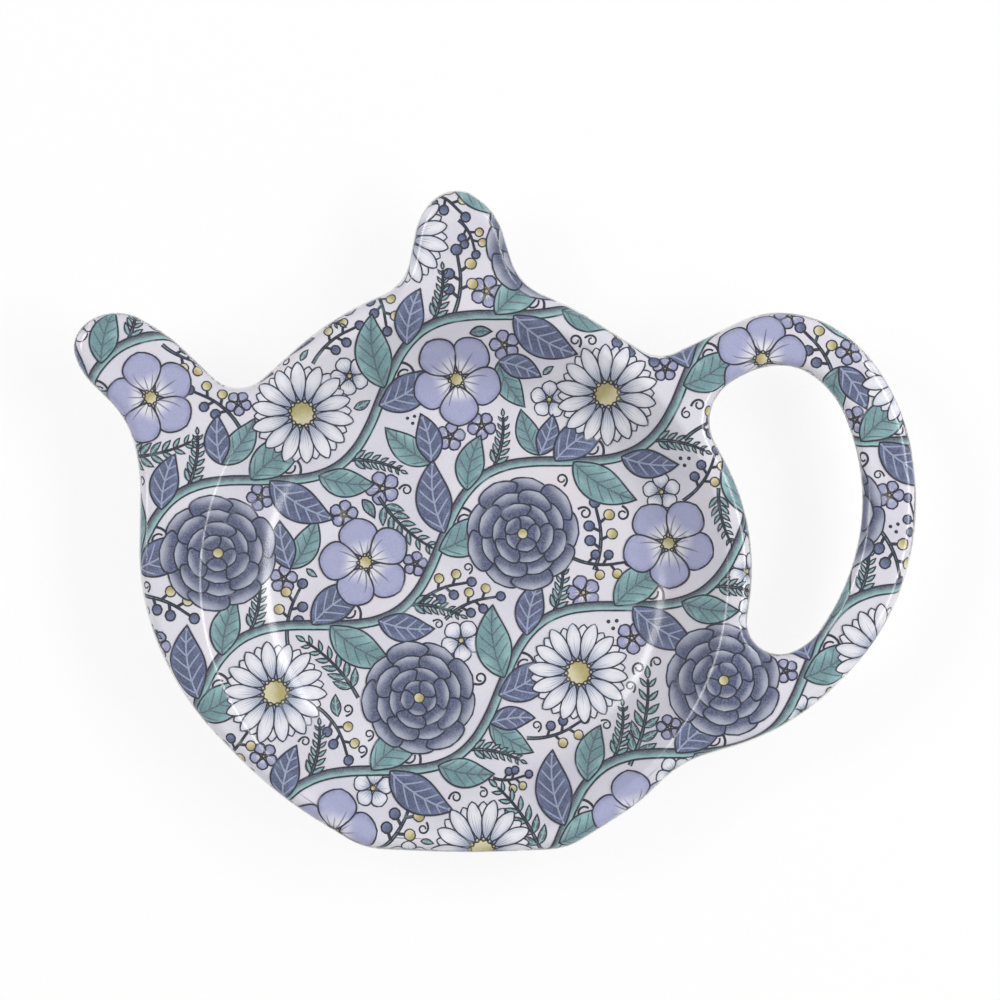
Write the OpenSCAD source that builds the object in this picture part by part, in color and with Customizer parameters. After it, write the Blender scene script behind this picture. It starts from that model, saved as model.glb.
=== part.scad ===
// Teapot-shaped tea bag rest: a thin melamine tray with a round well.
// Z = 0 is the surface that the foot ring stands on, and the Z axis is the middle of the well.
// +X points to the handle and +Y to the lid knob.

/* [Well] */
// Diameter of the well where its rounded rim meets the flat flange
mouth_d = 76.8; // [66:0.2:92]
// Depth of the well below the top of the flange
well_depth = 8.4; // [6.6:0.1:10.4]
// Slope of the well's wall, in degrees above the floor
wall_slope = 40; // [32:1:50]
// Radius where the wall sweeps into the floor
floor_fillet = 8; // [5:0.1:10]
// Radius of the rounded rim where the wall turns into the flange
mouth_round = 2; // [1.4:0.1:2.5]
// Flat left between the well and the rolled edge along the flat base
base_land = 0.2; // [0.15:0.05:0.5]

/* [Flange] */
// Width of the flange between the well and the narrowest part of the outline
rim_land = 2.05; // [1.6:0.05:4]
// How far the middle of the body's round outline lies above the middle of the well
body_lift = 0.45; // [0.3:0.05:0.6]
// Thickness of the flange
flange_t = 2.6; // [2.1:0.1:3.2]
// Radius of the rolled upper edge
edge_round = 1.8; // [1.2:0.1:2.2]
// Least height of the white band under the rolled edge
lip_min = 0.5; // [0.4:0.05:0.7]
// Bevel round the lower edge
under_bevel = 0.3; // [0.2:0.05:0.4]

/* [Lid knob] */
// Width of the knob at its roots
knob_w = 14; // [11.5:0.5:17]
// Height of the knob above the body's round outline
knob_h = 14; // [11.5:0.5:17]

/* [Spout] */
// Reach of the spout beyond the body's round outline
spout_reach = 15; // [12.4:0.5:18]
// Width of the spout between its upper lip and its root
spout_w = 17; // [14:0.5:20.5]

/* [Handle] */
// Reach of the handle beyond the body's round outline
handle_reach = 23.4; // [19.4:0.2:28]
// Height of the handle from its lower root to its top
handle_h = 62; // [51:0.5:74]
// Width of the band of the handle
handle_band = 7.6; // [6.3:0.1:9.2]

/* [Shell] */
// Thickness of the well's wall and floor, with the foil and the glaze
well_wall = 2.4; // [1.9:0.1:3]
// Radius under the flange where it meets the outside of the well
under_fillet = 2; // [1.6:0.1:2.4]
// Thickness of the printed foil
foil_t = 0.2; // [0.15:0.05:0.3]
// Thickness of the clear glaze
glaze_t = 0.25; // [0.2:0.05:0.35]

/* [Foot ring] */
// Outer diameter of the foot ring
foot_d = 46; // [38:1:55]
// Width of the foot ring
foot_w = 3.4; // [2.6:0.2:4.4]
// Height of the foot ring
foot_h = 0.8; // [0.6:0.1:1.2]
// Bevel on the foot ring's lower edges
foot_bevel = 0.3; // [0.2:0.05:0.4]

/* [Hidden] */
$fn = 180;
// How far a cut runs past the face that it opens, and one solid into the next
overrun = 1;
// Largest gap between a round stretch of the outline and its chords
chord_gap = 0.05;
// Facets of the rolled edge from the flat to the side
roll_steps = 4;
// Steps of the well's floor fillet and of its rim, and of the fillet under the flange
floor_steps = 10;
rim_steps = 6;
under_steps = 4;

// Heights
floor_top = foot_h + well_wall;
rim_top = floor_top + well_depth;
flange_under = rim_top - flange_t;

// Radii
mouth_r = mouth_d / 2;
body_r = mouth_r + rim_land + body_lift;
roll_r = min(edge_round, rim_land - base_land, flange_t - lip_min);
skin_t = foil_t + glaze_t;
foot_r = foot_d / 2;

// Places of the outline's parts
crown_y = body_lift + body_r;
spout_y_share = 0.72;
handle_y_share = 0.159;
spout_y = spout_y_share * body_r;
handle_y = handle_y_share * body_r;
gap_reach = handle_reach - handle_band;
gap_half_h = handle_h / 2 - handle_band;

// A corner is [x, y, radius of its rounding].
// Each of these takes its shares in the sizes of the part of the outline that it belongs to.
function body_corner(share) = body_r * share;
function knob_corner(share) = [knob_w * share.x, crown_y + knob_h * share.y, knob_w * share.z];
function spout_corner(share) = [-body_r - spout_reach * share.x, spout_y + spout_w * share.y, spout_w * share.z];
function handle_corner(share) = [body_r + handle_reach * share.x, handle_y + handle_h * share.y,
    handle_h * share.z];
function gap_corner(share) = [body_r + gap_reach * share.x, handle_y + gap_half_h * share.y,
    gap_half_h * share.z];

// Corners of the outline, anticlockwise from the right of the knob
knob_shares = [[0.334, 0.757, 0.68], [-0.019, 1.032, 0.32], [-0.306, 0.928, 0.41], [-0.47, 0.693, 0.64],
    [-0.599, 0.031, 0.47]];
left_crown_shares = [[-0.469, 0.904, 1], [-0.788, 0.617, 0.127]];
spout_shares = [[0.071, 0.304, 1.52], [0.501, 0.523, 0.42], [0.863, 0.438, 0.37], [1.002, 0.226, 0.26],
    [0.903, -0.014, 0.56], [0.469, -0.39, 0.78]];
left_body_shares = [[-1.126, 0.385, 0.66], [-1.132, -0.064, 0.856], [-0.992, -0.408, 1.015],
    [-0.667, -0.745, 1.52]];
base_shares = [[-0.35, -0.939, 0.27], [0.024, -0.955, 3.7], [0.357, -0.94, 0.245]];
right_body_shares = [[0.609, -0.782, 0.78], [0.755, -0.636, 0.41]];
handle_shares = [[0.251, -0.451, 0.565], [0.82, -0.232, 0.53], [1.037, 0.02, 0.6], [0.944, 0.27, 0.46],
    [0.692, 0.425, 0.32], [0.374, 0.503, 0.25], [0.046, 0.507, 0.22]];
right_crown_shares = [[0.676, 0.757, 0.132], [0.377, 0.944, 1]];
knob_root_shares = [[0.554, 0.036, 0.57]];
outer_corners = concat(
    [for (share = knob_shares) knob_corner(share)],
    [for (share = left_crown_shares) body_corner(share)],
    [for (share = spout_shares) spout_corner(share)],
    [for (share = left_body_shares) body_corner(share)],
    [for (share = base_shares) body_corner(share)],
    [for (share = right_body_shares) body_corner(share)],
    [for (share = handle_shares) handle_corner(share)],
    [for (share = right_crown_shares) body_corner(share)],
    [for (share = knob_root_shares) knob_corner(share)]);

// Corners of the finger gap, clockwise, so that the material is on the left as on the outline
gap_top_shares = [[0.101, 1.021, 0.47], [0.411, 1.014, 0.316], [0.758, 0.868, 0.555]];
gap_right_shares = [[1.033, 0.357, 1.28], [0.939, -0.245, 1.35], [0.54, -0.676, 0.385], [0.218, -0.764, 0.21]];
gap_left_shares = [[0.976, -0.202, 0.112], [1.029, 0.179, 0.782], [0.836, 0.542, 0.164], [0.893, 0.666, 0.183]];
gap_corners = concat(
    [for (share = gap_top_shares) gap_corner(share)],
    [for (share = gap_right_shares) gap_corner(share)],
    [for (share = gap_left_shares) body_corner(share)]);

// Rounded outlines
function flat(p) = [p.x, p.y];
function unit(v) = v / norm(v);
function left_of(v) = [-v.y, v.x];
function turn_of(before, after) = atan2(before.x * after.y - before.y * after.x, before * after);

// Every corner becomes a tangent arc. Where two arcs don't fit on the side between them, both shrink.
// The result is a closed list of [point, outward direction], with the material on the left.
function rounded(corners) =
    let (
        n = len(corners),
        spans = [for (i = [0 : n - 1]) flat(corners[(i + 1) % n]) - flat(corners[i])],
        turns = [for (i = [0 : n - 1]) turn_of(spans[(i + n - 1) % n], spans[i])],
        wants = [for (i = [0 : n - 1]) corners[i].z * tan(abs(turns[i]) / 2)],
        fits = [for (i = [0 : n - 1]) min(1, norm(spans[i]) / (wants[i] + wants[(i + 1) % n]))]
    )
    [for (i = [0 : n - 1])
        let (
            reach = wants[i] * min(fits[i], fits[(i + n - 1) % n]),
            side = sign(turns[i]),
            along = unit(spans[(i + n - 1) % n]),
            radius = reach / tan(abs(turns[i]) / 2),
            middle = flat(corners[i]) - along * reach + left_of(along) * side * radius,
            first = atan2(along.y, along.x) - side * 90,
            steps = ceil(abs(turns[i]) / (2 * acos(1 - min(1, chord_gap / radius))))
        )
        for (step = [0 : steps])
            let (angle = first + turns[i] * step / steps, ray = [cos(angle), sin(angle)])
            [middle + ray * radius, ray * side]];

outer_path = rounded(outer_corners);
gap_path = rounded(gap_corners);

function inset(path, depth) = [for (spot = path) spot[0] - spot[1] * depth];

// A closed section of [inset, height] swept along a closed path of [point, outward direction]
module swept(path, section) {
    n = len(path);
    m = len(section);
    points = [for (spot = path, place = section)
        let (p = spot[0] - spot[1] * place.x) [p.x, p.y, place.y]];
    faces = [for (i = [0 : n - 1], j = [0 : m - 1])
        let (a = i * m + j, b = (i + 1) % n * m + j, c = (i + 1) % n * m + (j + 1) % m, d = i * m + (j + 1) % m)
        each [[a, d, c], [a, c, b]]];
    polyhedron(points, faces);
}

// Quarter round of the rolled edge at a depth under the finished surface, from the flat outwards
function roll_arc(depth) = [for (step = [0 : roll_steps])
    let (angle = 90 * step / roll_steps)
    [roll_r - (roll_r - depth) * sin(angle), rim_top - roll_r + (roll_r - depth) * cos(angle)]];

// Everything between two heights inside the outline, drawn in by a depth, and outside the finger gap
module outline_slab(depth, low, high) {
    translate([0, 0, low]) linear_extrude(high - low) difference() {
        polygon(inset(outer_path, depth));
        polygon(inset(gap_path, depth));
    }
}

// Flange from a height up to a depth under the finished surface, with its rolled edge
module flange(depth, low) {
    section = concat([[-overrun, rim_top + overrun]], roll_arc(depth));
    difference() {
        outline_slab(depth, low, rim_top - depth);
        swept(outer_path, section);
        swept(gap_path, section);
    }
}

// White band under the rolled edge, whose top is the ledge that the foil and the glaze end on
module under_band() {
    bevel = [[-overrun, flange_under - overrun], [0, flange_under + under_bevel], [under_bevel, flange_under]];
    difference() {
        outline_slab(0, flange_under, rim_top - roll_r);
        swept(outer_path, bevel);
        swept(gap_path, bevel);
    }
}

// Well
// Where the straight wall would meet the floor and the flange if nothing were rounded
wall_top_r = mouth_r - mouth_round * tan(wall_slope / 2);
wall_foot_r = wall_top_r - well_depth / tan(wall_slope);
floor_r = wall_foot_r - floor_fillet * tan(wall_slope / 2);
// Where the well is cut off straight beside the flat base
base_y = -min([for (spot = outer_path) spot[0].y]);
stop_shift = mouth_r - (base_y - roll_r - base_land);

// Curve of the well from floor to rim, at a depth under the finished surface, as [radius, height]
function floor_curve(depth) = [for (step = [0 : floor_steps])
    let (angle = wall_slope * step / floor_steps, radius = floor_fillet + depth)
    [floor_r + radius * sin(angle), floor_top + floor_fillet - radius * cos(angle)]];
function rim_curve(depth) = [for (step = [rim_steps : -1 : 0])
    let (angle = wall_slope * step / rim_steps, radius = mouth_round - depth)
    [mouth_r - radius * sin(angle), rim_top - mouth_round + radius * cos(angle)]];
// The underside turns into the flange with a fillet of its own
under_wall_r = wall_top_r + well_wall / sin(wall_slope) - flange_t / tan(wall_slope);
under_end_r = under_wall_r + under_fillet * tan(wall_slope / 2);
function under_curve() = [for (step = [under_steps : -1 : 0])
    let (angle = wall_slope * step / under_steps)
    [under_end_r - under_fillet * sin(angle), flange_under - under_fillet + under_fillet * cos(angle)]];

// Everything inside a curve of the well: round, and cut off straight beside the flat base
module inside(curve, high) {
    rim = curve[len(curve) - 1];
    intersection() {
        rotate_extrude() polygon(concat([[0, high], [0, curve[0].y]], curve, [[rim.x, high]]));
        rotate([90, 0, -90]) linear_extrude(mouth_d * 2, center = true) translate([-stop_shift, 0])
            polygon(concat([[-mouth_d, high], [-mouth_d, curve[0].y]], curve, [[rim.x, high]]));
    }
}

module well(depth, high) {
    inside(concat(floor_curve(depth), rim_curve(depth)), high);
}

module well_underside() {
    inside(concat(floor_curve(well_wall), under_curve()), flange_under + flange_t / 2);
}

module foot_ring() {
    rotate_extrude() polygon([
        [foot_r - foot_w, foot_h + overrun], [foot_r - foot_w, foot_bevel], [foot_r - foot_w + foot_bevel, 0],
        [foot_r - foot_bevel, 0], [foot_r, foot_bevel], [foot_r, foot_h + overrun]]);
}

// A skin of the upper face between two depths under the finished surface
module skin(near, far) {
    edge_foot = rim_top - roll_r;
    difference() {
        union() {
            difference() {
                flange(near, edge_foot);
                flange(far, edge_foot - overrun);
            }
            well(far, rim_top - (near + far) / 2);
        }
        well(near, rim_top + overrun);
    }
}

module moulded_body() {
    color("ghostwhite") difference() {
        union() {
            under_band();
            flange(skin_t, flange_under + (flange_t - roll_r) / 2);
            well_underside();
            foot_ring();
        }
        well(skin_t, rim_top + overrun);
    }
}

module printed_foil() {
    color("lavender") skin(glaze_t, skin_t);
}

module clear_glaze() {
    color("aliceblue", 0.3) skin(0, glaze_t);
}

moulded_body();
printed_foil();
clear_glaze();
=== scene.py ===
"""Tea bag rest: a white melamine tray in the outline of a teapot, with a floral print under a clear glaze.

Lengths are in millimetres while a shape is worked out, and every finished mesh is in metres, in the frame
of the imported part: Z = 0 is what the foot ring stands on, and the Z axis is the middle of the well.
"""

import logging
import math
from collections.abc import Callable, Sequence
from dataclasses import dataclass, replace
from enum import Enum, IntEnum

import bmesh
import bpy
import numpy as np
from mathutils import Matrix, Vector, kdtree


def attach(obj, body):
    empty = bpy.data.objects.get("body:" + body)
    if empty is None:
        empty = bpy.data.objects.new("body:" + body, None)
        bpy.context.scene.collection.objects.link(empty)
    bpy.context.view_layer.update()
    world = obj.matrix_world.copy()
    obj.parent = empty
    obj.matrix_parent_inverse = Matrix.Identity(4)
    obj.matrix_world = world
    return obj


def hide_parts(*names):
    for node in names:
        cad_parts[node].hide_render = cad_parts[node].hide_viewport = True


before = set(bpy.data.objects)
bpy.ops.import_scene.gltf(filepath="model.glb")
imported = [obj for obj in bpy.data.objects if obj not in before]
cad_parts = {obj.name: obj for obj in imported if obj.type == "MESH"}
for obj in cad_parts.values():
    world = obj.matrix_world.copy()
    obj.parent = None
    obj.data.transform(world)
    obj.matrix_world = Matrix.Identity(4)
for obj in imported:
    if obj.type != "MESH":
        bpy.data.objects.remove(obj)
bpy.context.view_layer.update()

LOG = logging.getLogger("tea_bag_rest")
MM = 0.001
QUARTER = math.pi / 2
BODY = "root"
Array = np.ndarray
Spot = tuple[float, float]
Corner = tuple[float, float, float]
Corners = tuple[Corner, ...]
Ring = list[bmesh.types.BMVert]


class Slot(Enum):
    """The tray's material slots, by name."""

    MELAMINE = "white_melamine"
    DECOR = "printed_decor"
    CLEAR = "clear_melamine"


class Node(Enum):
    """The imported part's nodes, each of which a finer piece stands for."""

    BODY = "moulded_body"
    FOIL = "printed_foil"
    GLAZE = "clear_glaze"


# Form of the tray


def arc(x: float, z: float, wide: float, high: float, first: float, last: float, steps: int) -> list[Spot]:
    """Even steps along an arc of a section.

    Args:
        x: its middle sideways.
        z: its middle upwards.
        wide: its radius sideways, negative to turn it over.
        high: its radius upwards, negative to turn it over.
        first: its first angle from the upright, in radians.
        last: its last one.
        steps: how many steps it has.

    Returns:
        Its places.
    """
    return [(x + wide * math.sin(a), z + high * math.cos(a)) for a in np.linspace(first, last, steps + 1)]


def scaled(shares: Corners, wide: float, high: float, rounding: float, x: float = 0.0,
           y: float = 0.0) -> list[Corner]:
    """Corners from shares of a part's width, height and rounding, measured from a place."""
    return [(x + wide * a, y + high * b, rounding * c) for a, b, c in shares]


class Outline:
    """A closed line of tangent arcs with the material on its left.

    Args:
        corners: x, y and rounding radius of every corner, in order.
        step: the largest distance between two of its points.
    """

    STEEPEST = math.radians(4)
    NEAR = 1e-3

    def __init__(self, corners: Sequence[Corner], step: float) -> None:
        """Rounds the corners; where two arcs don't fit on the side between them, both shrink."""
        table = np.array(corners, float)
        spots, radii = table[:, :2], table[:, 2]
        spans = np.roll(spots, -1, 0) - spots
        lengths = np.hypot(*spans.T)
        ways = spans / lengths[:, None]
        before = np.roll(ways, 1, 0)
        turns = np.arctan2(before[:, 0] * ways[:, 1] - before[:, 1] * ways[:, 0], (before * ways).sum(1))
        wants = radii * np.tan(np.abs(turns) / 2)
        fits = np.minimum(1, lengths / (wants + np.roll(wants, -1)))
        reaches = wants * np.minimum(fits, np.roll(fits, 1))
        points, rays = [], []
        for i, turn in enumerate(turns):
            side, along, reach = np.sign(turn), before[i], reaches[i]
            radius = reach / math.tan(abs(turn) / 2)
            middle = spots[i] - along * reach + np.array([-along[1], along[0]]) * side * radius
            first = math.atan2(along[1], along[0]) - side * QUARTER
            count = max(2, math.ceil(radius * abs(turn) / step), math.ceil(abs(turn) / self.STEEPEST))
            angles = first + turn * np.linspace(0, 1, count + 1)
            ray = np.stack([np.cos(angles), np.sin(angles)], 1)
            points.append(middle + ray * radius)
            rays.append(ray * side)
            straight = lengths[i] - reach - reaches[(i + 1) % len(reaches)]
            if straight > step:
                shares = np.linspace(0, 1, math.ceil(straight / step) + 1)[1:-1, None]
                points.append(points[-1][-1] + ways[i] * straight * shares)
                rays.append(np.repeat(rays[-1][-1:], len(shares), 0))
        line, normals = np.vstack(points), np.vstack(rays)
        kept = np.hypot(*(line - np.roll(line, 1, 0)).T) > self.NEAR
        self.points, self.normals = line[kept], normals[kept]
        self.tree = kdtree.KDTree(len(self.points))
        for i, (x, y) in enumerate(self.points):
            self.tree.insert((x, y, 0.0), i)
        self.tree.balance()

    def drawn_in(self, inset: float, height: float) -> Array:
        """Its points drawn in by an inset, at a height."""
        flat = self.points - self.normals * inset
        return np.column_stack([flat, np.full(len(flat), height)])

    def beyond(self, plan: Array) -> tuple[Array, Array]:
        """How far past the line each place of the plan lies, and which way that is.

        Args:
            plan: rows of x and y.

        Returns:
            The distances, negative on the material, and the outward rays.
        """
        near = np.array([self.tree.find((x, y, 0.0))[1] for x, y in plan], int)
        ray = self.normals[near]
        return ((plan - self.points[near]) * ray).sum(1), ray


@dataclass
class TrayForm:
    """The tray's sizes in millimetres, as its solids have them; corners are shares of the part they shape."""

    mouth_d: float = 76.8
    well_depth: float = 8.4
    wall_slope: float = math.radians(40)
    floor_fillet: float = 8.0
    mouth_round: float = 2.0
    base_land: float = 0.2
    rim_land: float = 2.05
    body_lift: float = 0.45
    flange_t: float = 2.6
    edge_round: float = 1.8
    under_bevel: float = 0.3
    knob_w: float = 14.0
    knob_h: float = 14.0
    spout_reach: float = 15.0
    spout_w: float = 17.0
    spout_y_share: float = 0.72
    handle_reach: float = 23.4
    handle_h: float = 62.0
    handle_band: float = 7.6
    handle_y_share: float = 0.159
    well_wall: float = 2.4
    under_fillet: float = 2.0
    foil_t: float = 0.2
    glaze_t: float = 0.25
    foot_d: float = 46.0
    foot_w: float = 3.4
    foot_h: float = 0.8
    foot_round: float = 0.3
    foot_root: float = 0.2
    corner_blend: float = 0.9
    knob: Corners = ((0.334, 0.757, 0.68), (-0.019, 1.032, 0.32), (-0.306, 0.928, 0.41),
                     (-0.47, 0.693, 0.64), (-0.599, 0.031, 0.47))
    left_crown: Corners = ((-0.469, 0.904, 1), (-0.788, 0.617, 0.127))
    spout: Corners = ((0.071, 0.304, 1.52), (0.501, 0.523, 0.42), (0.863, 0.438, 0.37),
                      (1.002, 0.226, 0.26), (0.903, -0.014, 0.56), (0.469, -0.39, 0.78))
    lower_body: Corners = (
        (-1.126, 0.385, 0.66), (-1.132, -0.064, 0.856), (-0.992, -0.408, 1.015), (-0.667, -0.745, 1.52),
        (-0.35, -0.939, 0.27), (0.024, -0.955, 3.7), (0.357, -0.94, 0.245), (0.609, -0.782, 0.78),
        (0.755, -0.636, 0.41))
    handle: Corners = (
        (0.251, -0.451, 0.565), (0.82, -0.232, 0.53), (1.037, 0.02, 0.6), (0.944, 0.27, 0.46),
        (0.692, 0.425, 0.32), (0.374, 0.503, 0.25), (0.046, 0.507, 0.22))
    right_crown: Corners = ((0.676, 0.757, 0.132), (0.377, 0.944, 1))
    knob_root: Corners = ((0.554, 0.036, 0.57),)
    gap_outside: Corners = (
        (0.101, 1.021, 0.47), (0.411, 1.014, 0.316), (0.758, 0.868, 0.555), (1.033, 0.357, 1.28),
        (0.939, -0.245, 1.35), (0.54, -0.676, 0.385), (0.218, -0.764, 0.21))
    gap_inside: Corners = (
        (0.976, -0.202, 0.112), (1.029, 0.179, 0.782), (0.836, 0.542, 0.164), (0.893, 0.666, 0.183))

    def __post_init__(self) -> None:
        """Works out the heights and radii that follow from the sizes."""
        tangent = math.tan(self.wall_slope / 2)
        self.floor_top = self.foot_h + self.well_wall
        self.rim_top = self.floor_top + self.well_depth
        self.flange_under = self.rim_top - self.flange_t
        self.mouth_r = self.mouth_d / 2
        self.body_r = self.mouth_r + self.rim_land + self.body_lift
        self.roll_r = min(self.edge_round, self.rim_land - self.base_land)
        self.roll_z = self.rim_top - self.roll_r
        self.skin_t = self.foil_t + self.glaze_t
        self.wall_top_r = self.mouth_r - self.mouth_round * tangent
        wall_foot_r = self.wall_top_r - self.well_depth / math.tan(self.wall_slope)
        self.floor_r = wall_foot_r - self.floor_fillet * tangent

    def outer_corners(self) -> list[Corner]:
        """Corners of the outline, anticlockwise from the right of the knob."""
        body = (self.body_r,) * 3
        knob = (self.knob_w, self.knob_h, self.knob_w, 0.0, self.body_lift + self.body_r)
        spout = (-self.spout_reach, self.spout_w, self.spout_w, -self.body_r,
                 self.spout_y_share * self.body_r)
        handle = (self.handle_reach, self.handle_h, self.handle_h, self.body_r,
                  self.handle_y_share * self.body_r)
        parts = ((self.knob, knob), (self.left_crown, body), (self.spout, spout), (self.lower_body, body),
                 (self.handle, handle), (self.right_crown, body), (self.knob_root, knob))
        return [corner for shares, measures in parts for corner in scaled(shares, *measures)]

    def gap_corners(self) -> list[Corner]:
        """Corners of the finger gap, clockwise."""
        half = self.handle_h / 2 - self.handle_band
        outside = scaled(self.gap_outside, self.handle_reach - self.handle_band, half, half,
                         self.body_r, self.handle_y_share * self.body_r)
        return outside + scaled(self.gap_inside, *(self.body_r,) * 3)


class Tray:
    """The tray's outlines and surfaces at any depth under the finished face.

    Args:
        form: the tray's sizes.
    """

    SWEEP_STEP, SEARCH_STEP = 0.55, 0.12
    FLOOR_STEPS, WALL_STEPS, RIM_STEPS, ROLL_STEPS, UNDER_STEPS, CORNER_STEPS = 22, 10, 14, 10, 10, 4
    WELL_SEGMENTS, HALVINGS = 256, 40
    GUARD = 0.05

    def __init__(self, form: TrayForm) -> None:
        """Rounds both outlines and finds how far the well is cut short beside the flat base."""
        self.form = form
        both = (form.outer_corners(), form.gap_corners())
        self.outlines = [Outline(corners, self.SWEEP_STEP) for corners in both]
        self.searched = [Outline(corners, self.SEARCH_STEP) for corners in both]
        base_y = -float(self.searched[0].points[:, 1].min())
        self.stop_shift = form.mouth_r - (base_y - form.roll_r - form.base_land)
        angle = np.linspace(0, 2 * math.pi, self.WELL_SEGMENTS, endpoint=False)
        self.around = np.column_stack([np.cos(angle), np.sin(angle)])

    def level(self, plan: Array) -> Array:
        """Radius on the well's curve that places of the plan have, with the straight wall blended in.

        Args:
            plan: rows of x and y.

        Returns:
            The radius at each.
        """
        a, b, blend = np.hypot(*plan.T), self.stop_shift - plan[:, 1], self.form.corner_blend
        share = np.clip(0.5 + 0.5 * (a - b) / blend, 0, 1)
        return b + (a - b) * share + blend * share * (1 - share)

    def circle(self, radius: float | Array, height: float) -> Array:
        """Points round the Z axis at a height, with one radius or a radius for each."""
        flat = self.around * np.reshape(radius, (-1, 1))
        return np.column_stack([flat, np.full(len(flat), height)])

    def contour(self, level: float, height: float) -> Array:
        """Points round the well that all have one radius on its curve.

        Args:
            level: the radius on the curve.
            height: the height that they get.

        Returns:
            One row of x, y and z for each segment.
        """
        low, high = np.zeros(self.WELL_SEGMENTS), np.full(self.WELL_SEGMENTS, level + 1)
        for _ in range(self.HALVINGS):
            middle = (low + high) / 2
            over = self.level(self.around * middle[:, None]) > level
            low, high = np.where(over, low, middle), np.where(over, middle, high)
        return self.circle(low, height)

    def well_rows(self, depth: float, rim: list[Spot] | None = None) -> list[Array]:
        """Rings of the well at a depth, from a hair out on the flat down to the floor.

        Args:
            depth: how far it lies under the finished face.
            rim: the rounding between wall and flat, where it isn't the finished one at that depth.

        Returns:
            The points of each ring.
        """
        form, slope = self.form, self.form.wall_slope
        fillet, rounding = form.floor_fillet + depth, form.mouth_round - depth
        floor = arc(form.floor_r, form.floor_top + form.floor_fillet, fillet, -fillet, 0, slope,
                    self.FLOOR_STEPS)
        rim = rim or arc(form.mouth_r, form.rim_top - form.mouth_round, -rounding, rounding, slope, 0,
                         self.RIM_STEPS)
        shares = np.linspace(0, 1, self.WALL_STEPS + 1)[1:-1, None]
        wall = np.array(floor[-1]) + (np.array(rim[0]) - floor[-1]) * shares
        curve = [*floor, *wall, *rim, (rim[-1][0] + self.GUARD, rim[-1][1])]
        return [self.contour(*spot) for spot in reversed(curve)]

    def roll_curve(self, depth: float) -> list[Spot]:
        """The rolled edge at a depth, from a hair in on the flat to the upright, as inset and height."""
        form, radius = self.form, self.form.roll_r - depth
        roll = arc(form.roll_r, form.roll_z, -radius, radius, 0, QUARTER, self.ROLL_STEPS)
        return [(form.roll_r + self.GUARD, form.rim_top - depth), *roll]

    def height(self, level: Array, depth: Array) -> Array:
        """Height of the upper face.

        Args:
            level: the radius on the well's curve at each place.
            depth: how far under the finished face each lies.

        Returns:
            The heights.
        """
        form, sine = self.form, math.sin(self.form.wall_slope)
        fillet, rim = form.floor_fillet + depth, form.mouth_round - depth
        low = np.clip(level - form.floor_r, 0, fillet * sine)
        high = np.clip(form.mouth_r - level, 0, rim * sine)
        bottom = form.floor_top + form.floor_fillet - np.sqrt(fillet ** 2 - low ** 2)
        top = form.rim_top - form.mouth_round + np.sqrt(rim ** 2 - high ** 2)
        wall = bottom + np.maximum(0, level - form.floor_r - low) * math.tan(form.wall_slope)
        return np.where(high < rim * sine, top, np.minimum(wall, top))

    def tight(self, plan: Array, margin: float) -> Array:
        """Finds the places that lie on the rolled edge or the well's rim, or within a margin of them.

        Args:
            plan: rows of x and y.
            margin: the margin.

        Returns:
            True for each such place.
        """
        form, level = self.form, self.level(plan)
        width = form.mouth_round * math.sin(form.wall_slope)
        found = (level > form.mouth_r - width - margin) & (level < form.mouth_r + margin)
        for outline in self.searched:
            found |= outline.beyond(plan)[0] > -form.roll_r - margin
        return found

    def lay(self, plan: Array, depth: Array) -> tuple[Array, Array]:
        """Lays places of the flat print on the tray, and rolls them over its edges.

        Args:
            plan: rows of x and y.
            depth: how far under the finished face each place lies.

        Returns:
            Rows of x, y and z, and which of them lie past the end of the rolled edge.
        """
        form, radius = self.form, self.form.roll_r - depth
        spots = np.column_stack([plan, self.height(self.level(plan), depth)])
        lost = np.zeros(len(plan), bool)
        for outline in self.searched:
            past, ray = outline.beyond(plan)
            over = past + form.roll_r
            rolled = over > 0
            angle = np.minimum(over / (form.roll_r - form.glaze_t), QUARTER)
            inset = form.roll_r - radius * np.sin(angle)
            shifted = plan - ray * (past + inset)[:, None]
            lost |= rolled & (angle >= QUARTER)
            spots[rolled, :2] = shifted[rolled]
            spots[rolled, 2] = (form.roll_z + radius * np.cos(angle))[rolled]
        return spots, lost


# Meshes


def smooth_mesh(bm: bmesh.types.BMesh, name: str) -> bpy.types.Mesh:
    """Turns a bmesh into a smooth mesh and frees it.

    Args:
        bm: the bmesh.
        name: the mesh's name.

    Returns:
        The mesh.
    """
    mesh = bpy.data.meshes.new(name)
    bm.to_mesh(mesh)
    bm.free()
    mesh.shade_smooth()
    return mesh


def put(name: str, data: bpy.types.ID) -> bpy.types.Object:
    """Puts a mesh, a lamp or a camera into the scene."""
    made = bpy.data.objects.new(name, data)
    bpy.context.scene.collection.objects.link(made)
    return made


def settle(mesh: bpy.types.Mesh, materials: Sequence[bpy.types.Material], node: Node) -> bpy.types.Object:
    """Makes a piece of a mesh, dresses it and lets it ride on the part.

    Args:
        mesh: the finished mesh; the piece takes its name.
        materials: its finishes.
        node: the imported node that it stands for.

    Returns:
        The piece.
    """
    piece = put(mesh.name, mesh)
    for material in materials:
        mesh.materials.append(material)
    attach(piece, BODY)
    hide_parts(node.value)
    LOG.info("piece %s: %d faces", piece.name, len(mesh.polygons))
    return piece


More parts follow.
